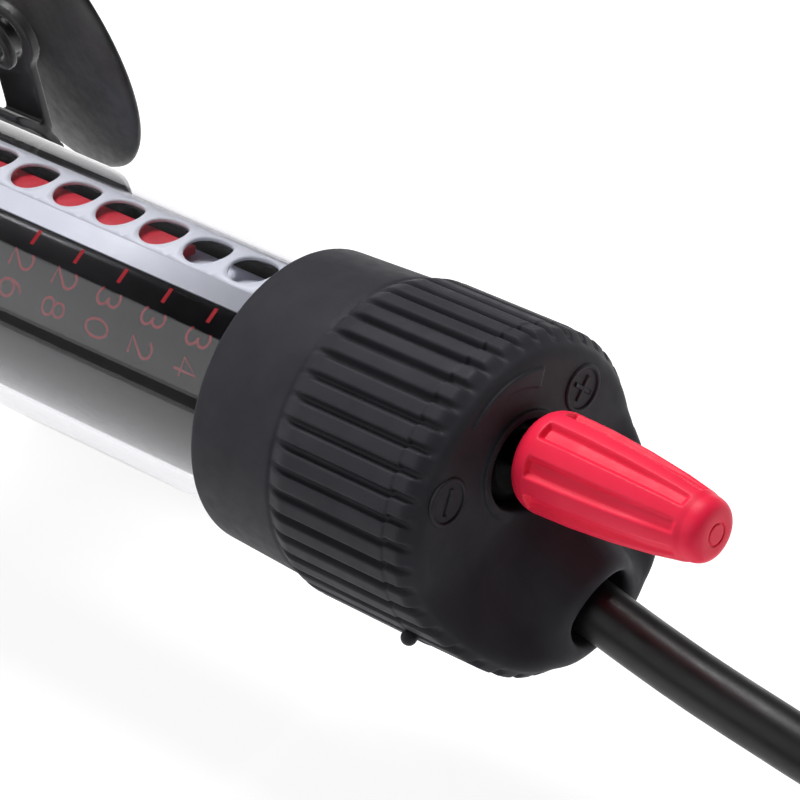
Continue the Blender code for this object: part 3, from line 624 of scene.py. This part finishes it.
def crescent(from_hole, turn):
    """The swelling wedge beside the knob hole that shows which way is warmer, in plan."""
    degrees = np.degrees(turn) % 360
    inside = np.interp(degrees, CRESCENT_DEGREES, CRESCENT_INSIDE)
    across = np.maximum(from_hole - CRESCENT_OUTSIDE, inside - from_hole)
    along = np.maximum(CRESCENT_DEGREES[0] - degrees, degrees - CRESCENT_DEGREES[-1]) * CRESCENT_MM_A_DEGREE
    return np.maximum(across, along)


def cap_field(x, y, z):
    """The cap: ribbed shell, cable boss, lip and crescent by the knob hole, and what is bored out of them."""
    r = np.hypot(x, y)
    turn = np.arctan2(y, x)
    lift = face_lift(x)
    face = z - CAP_FACE_Z - lift
    shell = smooth_max(r - cap_side_radius(turn, z, lift), face, 2.0)
    up, out = boss_distances(x, y, z)
    boss = smooth_max(smooth_max(out - (BOSS_MOUTH_R - BOSS_TAPER * up), up, 1.5), BOSS_FOOT_Z - z, 1.0)
    hole_x, hole_y = x - KNOB_HOLE[0], y - KNOB_HOLE[1]
    hole = np.hypot(hole_x, hole_y)
    lip = np.maximum(np.maximum(np.abs(hole - LIP_R) - LIP_HALF_WALL, face - LIP_HEIGHT), LIP_FOOT_Z - z)
    body = smooth_min(shell, boss, 2.6)
    body = smooth_min(body, lip, 0.3)
    low_and_flat = np.maximum(face - CRESCENT_HEIGHT, CRESCENT_FOOT_Z - z)
    wedge = np.maximum(crescent(hole, np.arctan2(hole_y, hole_x)), low_and_flat)
    body = smooth_min(body, wedge, 0.15)
    flash = np.sqrt(sum((v - at) ** 2 for v, at in zip((x, y, z), FLASH_AT))) - FLASH_R
    body = smooth_min(body, flash, 0.4)
    body = smooth_max(body, CAP_RIM_Z - z, 0.5)
    body = smooth_max(body, KNOB_HOLE_R - hole, 0.4)
    body = smooth_max(body, CABLE_BORE_R - out, 0.9)
    collar_bore = np.maximum(r - COLLAR_BORE_R, z - COLLAR_BORE_Z)
    ribs_bore = np.maximum(r - RIBS_BORE_R, z - RIBS_BORE_Z)
    return smooth_max(body, -np.minimum(collar_bore, ribs_bore), 0.3)


def cap():
    step = 0.20
    solid("cap_shell", cap_field, CAP_LOW, CAP_HIGH, step, CAP_BLACK, "heater", "cap_black",
          stands_for=("cap_housing",))


def ridge(name, path, height, closed=False):
    """A low rounded ridge on the cap's face along (x, y) points."""
    count = len(path)
    points, faces = [], []
    for i, (x, y) in enumerate(path):
        before = path[i - 1] if closed or i else path[i]
        after = path[(i + 1) % count] if closed or i < count - 1 else path[i]
        dx, dy = after[0] - before[0], after[1] - before[1]
        length = math.hypot(dx, dy)
        for s, h in RIDGE_SECTION:
            across = (x - dy / length * s * MARK_WIDTH, y + dx / length * s * MARK_WIDTH)
            points.append((*across, CAP_FACE_Z + h * height))
    n = len(RIDGE_SECTION)
    for i in range(count if closed else count - 1):
        j = (i + 1) % count
        for k in range(n):
            m = (k + 1) % n
            faces.append((i * n + k, i * n + m, j * n + m, j * n + k))
    if not closed:
        faces.append(tuple(range(n)))
        faces.append(tuple(reversed(range((count - 1) * n, count * n))))
    return piece(name, points, faces, CAP_BLACK, "heater", "cap_black")


def circle(centre, radius, steps):
    """Points round a circle."""
    turns = [math.radians(360 * i / steps) for i in range(steps)]
    return [(centre[0] + radius * math.cos(a), centre[1] + radius * math.sin(a)) for a in turns]


def bar(centre, along, steps=6):
    """Points of one stroke of a plus or a minus."""
    start, stop = centre - along * MARK_BAR_HALF, centre + along * MARK_BAR_HALF
    return [tuple(a + (b - a) * i / steps for a, b in zip(start, stop)) for i in range(steps + 1)]


def face_marks():
    """A plus and a minus in relief, each in a ring."""
    for name, centre, degrees in (PLUS_MARK, MINUS_MARK):
        ridge(f"cap_{name}_ring", circle(centre, MARK_RING_R, 48), MARK_RING_HEIGHT, closed=True)
        angle = math.radians(degrees)
        out = Vector((math.cos(angle), math.sin(angle)))
        across = Vector((-out.y, out.x))
        ridge(f"cap_{name}_bar", bar(Vector(centre), across), MARK_BAR_HEIGHT)
        if name == "plus":
            ridge("cap_plus_stem", bar(Vector(centre), out), MARK_BAR_HEIGHT)


def cap_insides():
    """The wet-looking gland in the knob hole."""
    turned("knob_gland", GLAND, GLAND_BLACK_AND_SHAFT_SHADE, "heater", "rubber_black", 64,
           place=PLACE @ Matrix.Translation((*KNOB_HOLE, 0)), stands_for=("shaft_gland",))


# ---------------------------------------------------------------- knob

def knob_field(x, y, z):
    """The knob: a tapering fluted grip, a ring left by its gate on the tip, and a bore for the shaft."""
    x, y, z = x - KNOB_X, y - KNOB_Y, z - KNOB_BASE_Z
    r = np.hypot(x, y)
    body = np.interp(z, KNOB_SIDE_Z, KNOB_SIDE_R)
    share = (np.arctan2(y, x) + KNOB_PHASE) * KNOB_FLUTES / TAU
    share = np.abs(share - np.round(share))
    flute = 1 - ease(share, *FLUTE_FLANK)
    shallower = 1 - FLUTE_SHALLOWS_BY * ease(z, *FLUTE_SHALLOWS_Z)
    reach = ease(z, *FLUTE_START_Z) * shallower * (1 - ease(z, *FLUTE_END_Z))
    side = r - body + FLUTE_DEPTH * flute * reach
    tip = smooth_max(side, z - KNOB_LENGTH, 1.4)
    ended = smooth_max(tip, -z, 2.2)
    gate = np.maximum(np.abs(r - GATE_R) - GATE_HALF_WIDE, np.abs(z - KNOB_LENGTH) - GATE_DEPTH)
    dimpled = np.maximum(ended, -gate)
    return np.maximum(dimpled, -np.maximum(r - KNOB_BORE_R, z - KNOB_BORE_Z))


def knob():
    step = 0.13
    low = (KNOB_X - KNOB_WIDEST_R, KNOB_Y - KNOB_WIDEST_R, KNOB_BASE_Z)
    high = (KNOB_X + KNOB_WIDEST_R, KNOB_Y + KNOB_WIDEST_R, KNOB_BASE_Z + KNOB_LENGTH)
    solid("knob_grip", knob_field, low, high, step, KNOB_RED, "knob", "knob_red", stands_for=("knob",))


# ---------------------------------------------------------------- glass and what shows through it

def tube():
    """The glass: one wall, open at the cap and domed at the far end."""
    centre = GLASS_END_Z + GLASS_R
    steps = 24
    arcs = [math.pi / 2 * i / steps for i in range(steps + 1)]
    outer = [(GLASS_R * math.cos(a), centre - GLASS_R * math.sin(a)) for a in arcs[:-1]]
    straight = (BORE_START_Z, BORE_STOP_Z)
    inner = [(BORE_R * math.cos(a), centre - BORE_R * math.sin(a)) for a in arcs[:-1]]
    rim = [(BORE_R, GLASS_TOP_Z - GLASS_EDGE), (BORE_R + GLASS_EDGE, GLASS_TOP_Z),
           (GLASS_R - GLASS_EDGE, GLASS_TOP_Z), (GLASS_R, GLASS_TOP_Z - GLASS_EDGE)]
    profile = [(0, centre - BORE_R), *reversed(inner), *((BORE_R, z) for z in straight), *rim,
               *((GLASS_R, z) for z in reversed(straight)), *outer, (0, GLASS_END_Z)]
    turned("tube_wall", profile, TUBE_GLASS, "heater", "glass", 160, stands_for=("glass_tube",))


def on_liner(width, z, radius=LINER_R):
    """A point on the liner, from its millimetres round from the windows' middle line and its height."""
    turn = WINDOW_ANGLE + width / LINER_R
    return (radius * math.cos(turn), radius * math.sin(turn), z)


def thicken(made, wall):
    """Give a sheet a wall on the inner side of its faces."""
    wall_modifier = made.modifiers.new("wall", "SOLIDIFY")
    wall_modifier.thickness = wall * MM
    wall_modifier.offset = -1


def strip_grid(low_width, high_width, low_z, high_z, rounding):
    """Points and faces of a plain stretch of the strip, its top corners rounded."""
    columns = 28
    points, faces = [], []
    for i in range(columns + 1):
        w = low_width + (high_width - low_width) * i / columns
        past = max(rounding - min(w - low_width, high_width - w), 0)
        drop = rounding - math.sqrt(max(rounding**2 - past**2, 0))
        points += [on_liner(w, low_z), on_liner(w, high_z - drop)]
        if i:
            k = 2 * i
            faces.append((k - 2, k, k + 1, k - 1))
    return points, faces


def window_cell(centre_z):
    """Points and faces of a square of the strip with a round window in it."""
    half = WINDOW_PITCH / 2
    points, faces = [], []
    steps = 64
    for i in range(steps):
        a = TAU * (i + 0.5) / steps
        c, s = math.cos(a), math.sin(a)
        reach = half / max(abs(c), abs(s))
        for share in (0.0, 0.5, 1.0):
            far = WINDOW_R + (reach - WINDOW_R) * share
            points.append(on_liner(far * c, centre_z + far * s))
        j = (i + 1) % steps
        for ring in (0, 1):
            faces.append((3 * i + ring, 3 * i + ring + 1, 3 * j + ring + 1, 3 * j + ring))
    for c, s in ((1, 1), (-1, 1), (-1, -1), (1, -1)):
        corner = len(points)
        points.append(on_liner(half * c, centre_z + half * s))
        before = int(steps * (math.atan2(s, c) % TAU) / TAU) - 1
        after = (before + 1) % steps
        faces.append((3 * before + 2, corner, 3 * after + 2))
    return points, faces


def window_strip():
    """The pale strip with its row of round windows."""
    low_width = LINER_R * (STRIP_START - WINDOW_ANGLE)
    high_width = LINER_R * (STRIP_STOP - WINDOW_ANGLE)
    half = WINDOW_PITCH / 2
    top = FIRST_WINDOW_Z + half
    end = FIRST_WINDOW_Z - (WINDOW_COUNT - 0.5) * WINDOW_PITCH
    stretches = [strip_grid(low_width, high_width, top, STRIP_TOP_Z, STRIP_CORNER),
                 strip_grid(low_width, high_width, STRIP_END_Z, end, SHARP_CORNER),
                 strip_grid(low_width, -half, end, top, SHARP_CORNER),
                 strip_grid(half, high_width, end, top, SHARP_CORNER)]
    stretches += [window_cell(FIRST_WINDOW_Z - i * WINDOW_PITCH) for i in range(WINDOW_COUNT)]
    points, faces = [], []
    for more_points, more_faces in stretches:
        start = len(points)
        points += more_points
        faces += [tuple(start + k for k in face) for face in more_faces]
    strip = piece("window_strip", points, faces, PRINT_WHITE, "heater", "print_white",
                  stands_for=("scale_strip",))
    bm = bmesh.new()
    bm.from_mesh(strip.data)
    bmesh.ops.remove_doubles(bm, verts=bm.verts, dist=WELD)
    bm.to_mesh(strip.data)
    bm.free()
    thicken(strip, FILM_WALL)


def sleeve():
    """The black film round the rest of the tube."""
    start = STRIP_STOP + SLEEVE_GAP
    stop = TAU + STRIP_START - SLEEVE_GAP
    steps = 72
    points, faces = [], []
    for i in range(steps + 1):
        turn = start + (stop - start) * i / steps
        for z in (SLEEVE_TOP_Z, SLEEVE_END_Z):
            points.append((LINER_R * math.cos(turn), LINER_R * math.sin(turn), z))
        if i:
            k = 2 * i
            faces.append((k - 2, k - 1, k + 1, k))
    film = piece("black_sleeve", points, faces, PRINT_BLACK, "heater", "print_black",
                 stands_for=("scale_sleeve",))
    thicken(film, FILM_WALL)


def curve_points(centre, radii, start, stop, steps):
    """Points along part of an ellipse, from start to stop degrees."""
    turns = [math.radians(start + (stop - start) * i / steps) for i in range(steps + 1)]
    return [(centre[0] + radii[0] * math.cos(a), centre[1] + radii[1] * math.sin(a)) for a in turns]


def digit_strokes(digit):
    """Single-line strokes of a digit in a box one wide and one tall."""
    return {
        "0": [curve_points((0.5, 0.5), (0.42, 0.5), 0, 360, 28)],
        "2": [curve_points((0.5, 0.72), (0.4, 0.28), 160, -35, 14) + [(0.1, 0.0), (0.92, 0.0)]],
        "3": [curve_points((0.46, 0.75), (0.36, 0.25), 150, -90, 14)
              + curve_points((0.46, 0.26), (0.42, 0.26), 90, -150, 14)],
        "4": [[(0.66, 0.0), (0.66, 1.0), (0.04, 0.30), (0.96, 0.30)]],
        "6": [curve_points((0.62, 0.42), (0.54, 0.58), 100, 180, 8)
              + curve_points((0.5, 0.32), (0.42, 0.32), 180, -180, 24)],
        "8": [curve_points((0.5, 0.75), (0.34, 0.25), 0, 360, 24),
              curve_points((0.5, 0.26), (0.42, 0.26), 0, 360, 24)],
    }[digit]


def ink(name, strokes, width, finish):
    """Flat printed strokes on the liner from (width, z) points in millimetres."""
    points, faces = [], []
    for stroke in strokes:
        start = len(points)
        count = len(stroke)
        for i, (w, z) in enumerate(stroke):
            before, after = stroke[max(i - 1, 0)], stroke[min(i + 1, count - 1)]
            dw, dz = after[0] - before[0], after[1] - before[1]
            length = math.hypot(dw, dz)
            for side in (-0.5, 0.5):
                edge_w = w - dz / length * side * width
                edge_z = z + dw / length * side * width
                points.append(on_liner(edge_w, edge_z, LINER_R + INK_LIFT))
            if i:
                k = start + 2 * i
                faces.append((k - 2, k, k + 1, k - 1))
    made = piece(name, points, faces, finish, "heater", "indicator_red", smooth=False)
    thicken(made, INK_WALL)


def scale_print():
    """A tick and a number beside every window, read with the cap up."""
    for i in range(WINDOW_COUNT):
        degrees = FIRST_DEGREES - WINDOW_DEGREES * i
        z = FIRST_WINDOW_Z + TICK_LEAD - i * WINDOW_PITCH
        ink(f"tick_{degrees}", [[(LINER_R * turn, z) for turn in TICK_TURNS]], TICK_STROKE, PRINT_RED)
        strokes = []
        for character, turn in zip(str(degrees), DIGIT_TURNS):
            for stroke in digit_strokes(character):
                strokes.append([(LINER_R * turn + (u - 0.5) * DIGIT_WIDE, z + (v - 0.5) * DIGIT_TALL)
                                for u, v in stroke])
        ink(f"number_{degrees}", strokes, DIGIT_STROKE, THIN_RED)


# ---------------------------------------------------------------- clips and cups

def clip_field(x, y, z):
    """A C open towards -Y, a skirt from its back down to the wall pad, and an eyed arm to each side."""
    z = z - ARM_Z
    r = np.hypot(x, y)
    shell = np.maximum(np.abs(r - SPRING_R) - SPRING_HALF_WALL, np.maximum(z - SPRING_TOP, SPRING_END - z))
    opened = np.maximum(-y - SPRING_LIP, 0) + SPRING_LIP_SKIN
    shell = np.where(y < SPRING_MOUTH_Y, np.maximum(shell, opened), shell)
    shell = smooth_max(shell, np.minimum(SKIRT_Y - y, z - SKIRT_TOP), 0.6)
    side = np.abs(x)
    arm = block_field(side, y, z, ARM_LOW, ARM_HIGH, ARM_EDGE)
    out = np.hypot(side - CUP_OFFSET, z)
    eye = np.maximum(out - EYE_R, np.abs(y - CUP_PIVOT_Y) - EYE_HALF_WALL)
    pad = block_field(x, y, z, PAD_LOW, PAD_HIGH, PAD_EDGE)
    body = smooth_min(shell, arm, 0.8)
    body = smooth_min(body, eye, 0.5)
    body = smooth_min(body, pad, 0.6)
    return smooth_max(body, CUP_HOLE_R - out, 0.3)


def clip(name, shift):
    step = 0.3
    made = solid(name + "_spring", clip_field, CLIP_LOW, CLIP_HIGH, step, CLIP_BLACK, name, "clip_black",
                 place=PLACE @ Matrix.Translation((0, 0, shift)), stands_for=(name,))
    made.visible_glossy = False


def cup(name, body, side, shift, lean=STRAIGHT):
    """A rubber cup with a tubular head, standing in its arm."""
    tilt_x, tilt_z = lean
    turn = Matrix.Rotation(tilt_z, 4, "Z") @ Matrix.Rotation(-math.pi / 2 + tilt_x, 4, "X")
    place = PLACE @ Matrix.Translation((side * CUP_OFFSET, CUP_PIVOT_Y, ARM_Z + shift)) @ turn
    made = turned(name + "_rubber", CUP_PROFILE, CUP_RUBBER, body, "rubber_black", 128,
                  place=place, stands_for=(body,))
    made.visible_glossy = False
    made.visible_shadow = side == LOWER


# ---------------------------------------------------------------- cable and plug

def to_row(point):
    """A point of the tube's frame in the row frame, both in millimetres."""
    return (PLACE @ Vector(point)) / MM


def cable_path():
    """Out of the boss, down to the table, round a loose coil and on to the plug."""
    mouth, axis = Vector(BOSS_MOUTH), Vector(BOSS_AXIS)
    inside = [mouth - axis * d for d in CABLE_IN_BOSS] + [mouth + CABLE_AT_MOUTH]
    hanging = [to_row(p) for p in (*inside, *CABLE_FALLS)]
    lying = [Vector((x, y, TABLE_Z + CABLE_R)) for x, y in CABLE_ON_TABLE]
    path = smooth_path(hanging + lying, 14)
    for degrees in range(COIL_START_DEGREES, COIL_STOP_DEGREES + 1, COIL_STEP_DEGREES):
        angle = math.radians(degrees)
        loop_r = COIL_LOOP_R + COIL_WAVE * math.sin(COIL_WAVES_A_TURN * angle)
        lift = COIL_RISE * (degrees - COIL_START_DEGREES) / 360
        path.append(COIL_CENTRE + Vector((loop_r * math.cos(angle), loop_r * math.sin(angle), lift)))
    top = path[-1]
    to_plug = [top, Vector((112, -164, top.z - 5)), Vector((102, -187, PLUG_FACE.z + 3)),
               PLUG_FACE + Vector((24, 0.3, 0.3)), PLUG_FACE + Vector((15, 0, 0))]
    return path + smooth_path(to_plug, 12)[1:] + [PLUG_FACE + Vector((0.4, 0, 0))]


def cable():
    cord("mains_cable", cable_path(), CABLE_R, CABLE_BLACK, "heater", "cable_black", CABLE_SIDES,
         stands_for=("power_cable",), place=ROW_MM)


def finish_cad_node(node, finish):
    """A CAD node that keeps its shape and takes a fine finish."""
    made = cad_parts[node]
    made.data.materials.clear()
    made.data.materials.append(finish)


def cad_finishes():
    """Which finish each CAD node that stays takes."""
    finishes = {
        RUBBER_BLACK: ("tube_o_ring", "sealing_plug", "shaft_o_ring", "cable_grommet", "cable_tie"),
        KNOB_RED: ("neutral_lead",),
        # The knob's shaft takes the gland's near-black as painted shade, standing in for the shadow under the
        # knob.
        GLAND_BLACK_AND_SHAFT_SHADE: ("knob_shaft",),
        CABLE_BLACK: ("live_lead", "plug_body", "plug_strain_relief"),
        STEEL: ("shaft_circlip", "temperature_screw", "contact_magnet", "fixed_contact", "moving_contact",
                "core_tie_rod", "plug_pin_left", "plug_pin_right"),
        BRASS: ("bimetal_strip", "fixed_contact_bracket"),
        RESISTANCE: ("heating_coil", "return_lead"),
        INDICATOR_RED: ("temperature_indicator", "indicator_nut"),
        PRINT_WHITE: ("indicator_guide",),
        BOARD: ("thermostat_board", "screw_bearing"),
        CERAMIC: ("bimetal_anchor", "suppressor_capacitor", "lamp_resistor", "heat_shield", "core_top_disc",
                  "core_end_disc", "heater_core"),
        FIBRE: ("end_cushion",),
        LAMP_GLASS: ("indicator_lamp",),
    }
    for finish, nodes in finishes.items():
        for node in nodes:
            finish_cad_node(node, finish)


# ---------------------------------------------------------------- studio

def camera():
    """A long lens aimed at the cap's end from in front, above and to its side, rolled a little."""
    a, e = CAMERA_AZIMUTH, CAMERA_ELEVATION
    back = Vector((math.sin(a) * math.cos(e), -math.cos(a) * math.cos(e), math.sin(e)))
    right = Vector((math.cos(a), math.sin(a), 0))
    up = back.cross(right)
    turn = Matrix((right, up, back)).transposed().to_4x4() @ Matrix.Rotation(CAMERA_ROLL, 4, "Z")
    data = bpy.data.cameras.new("camera")
    data.lens = CAMERA_LENS
    data.sensor_width = SENSOR_WIDTH
    data.clip_start = CLIP_START
    made = bpy.data.objects.new("camera", data)
    made.matrix_world = Matrix.Translation(AIM + back * CAMERA_DISTANCE) @ turn
    bpy.context.scene.collection.objects.link(made)
    bpy.context.scene.camera = made


def softbox(name, centre, size, glow, diffuse, aim=(0, 0, 0)):
    """A rectangular light of even radiance, facing the heater, its width along the row's X."""
    data = bpy.data.lights.new(name, "AREA")
    data.shape = "RECTANGLE"
    data.size, data.size_y = size
    data.energy = glow * math.pi * size[0] * size[1]
    data.diffuse_factor = diffuse
    made = bpy.data.objects.new(name, data)
    back = (Vector(centre) - Vector(aim)).normalized()
    right = Vector((1, 0, 0))
    up = back.cross(right).normalized()
    right = up.cross(back)
    made.matrix_world = Matrix.Translation(centre) @ Matrix((right, up, back)).transposed().to_4x4()
    bpy.context.scene.collection.objects.link(made)


def table():
    """A white table top, bright enough to bleach out under the lights."""
    finish = Finish("table_white")
    finish.link(finish.mix(finish.noise(40.0, 3), *FLOOR_GREYS), finish.shader.inputs["Base Color"])
    finish.put("Roughness", FLOOR_ROUGHNESS)
    finish.put("Emission Color", (1, 1, 1, 1))
    finish.put("Emission Strength", FLOOR_GLOW)
    half = FLOOR_HALF
    mesh = bpy.data.meshes.new("table_top")
    z = cad_low.z - FLOOR_GAP
    corners = [(-half, -half, z), (half, -half, z), (half, half, z), (-half, half, z)]
    mesh.from_pydata(corners, [], [(0, 1, 2, 3)])
    mesh.materials.append(finish.made)
    made = bpy.data.objects.new("table_top", mesh)
    bpy.context.scene.collection.objects.link(made)


def surroundings():
    """A bright horizon under a dim ceiling."""
    world = bpy.data.worlds.new("studio")
    bpy.context.scene.world = world
    world.use_nodes = True
    tree = world.node_tree
    coordinates = tree.nodes.new("ShaderNodeTexCoord")
    split = tree.nodes.new("ShaderNodeSeparateXYZ")
    tree.links.new(coordinates.outputs["Generated"], split.inputs[0])
    fade = tree.nodes.new("ShaderNodeMapRange")
    fade.interpolation_type = "SMOOTHSTEP"
    fade.inputs["From Min"].default_value = HORIZON_END
    fade.inputs["From Max"].default_value = CEILING_START
    fade.inputs["To Min"].default_value = HORIZON_GLOW
    fade.inputs["To Max"].default_value = CEILING_GLOW
    tree.links.new(split.outputs["Z"], fade.inputs["Value"])
    tree.links.new(fade.outputs["Result"], tree.nodes["Background"].inputs["Strength"])


def studio():
    scene = bpy.context.scene
    scene.view_settings.view_transform = "Standard"
    scene.view_settings.look = "None"
    table()
    surroundings()
    softbox("front_softbox", **FRONT_SOFTBOX)
    softbox("top_light", **TOP_LIGHT)
    camera()


cap()
face_marks()
cap_insides()
knob()
tube()
window_strip()
sleeve()
scale_print()
clip("cap_end_clip", 0.0)
clip("tube_end_clip", -CLIP_SPACING)
cup("upper_cup_cap_end", "cap_end_cup_top", UPPER, 0.0, LOOSE_CUP_LEAN)
cup("lower_cup_cap_end", "cap_end_cup_bottom", LOWER, 0.0)
cup("upper_cup_tube_end", "tube_end_cup_top", UPPER, -CLIP_SPACING)
cup("lower_cup_tube_end", "tube_end_cup_bottom", LOWER, -CLIP_SPACING)
cable()
cad_finishes()
studio()
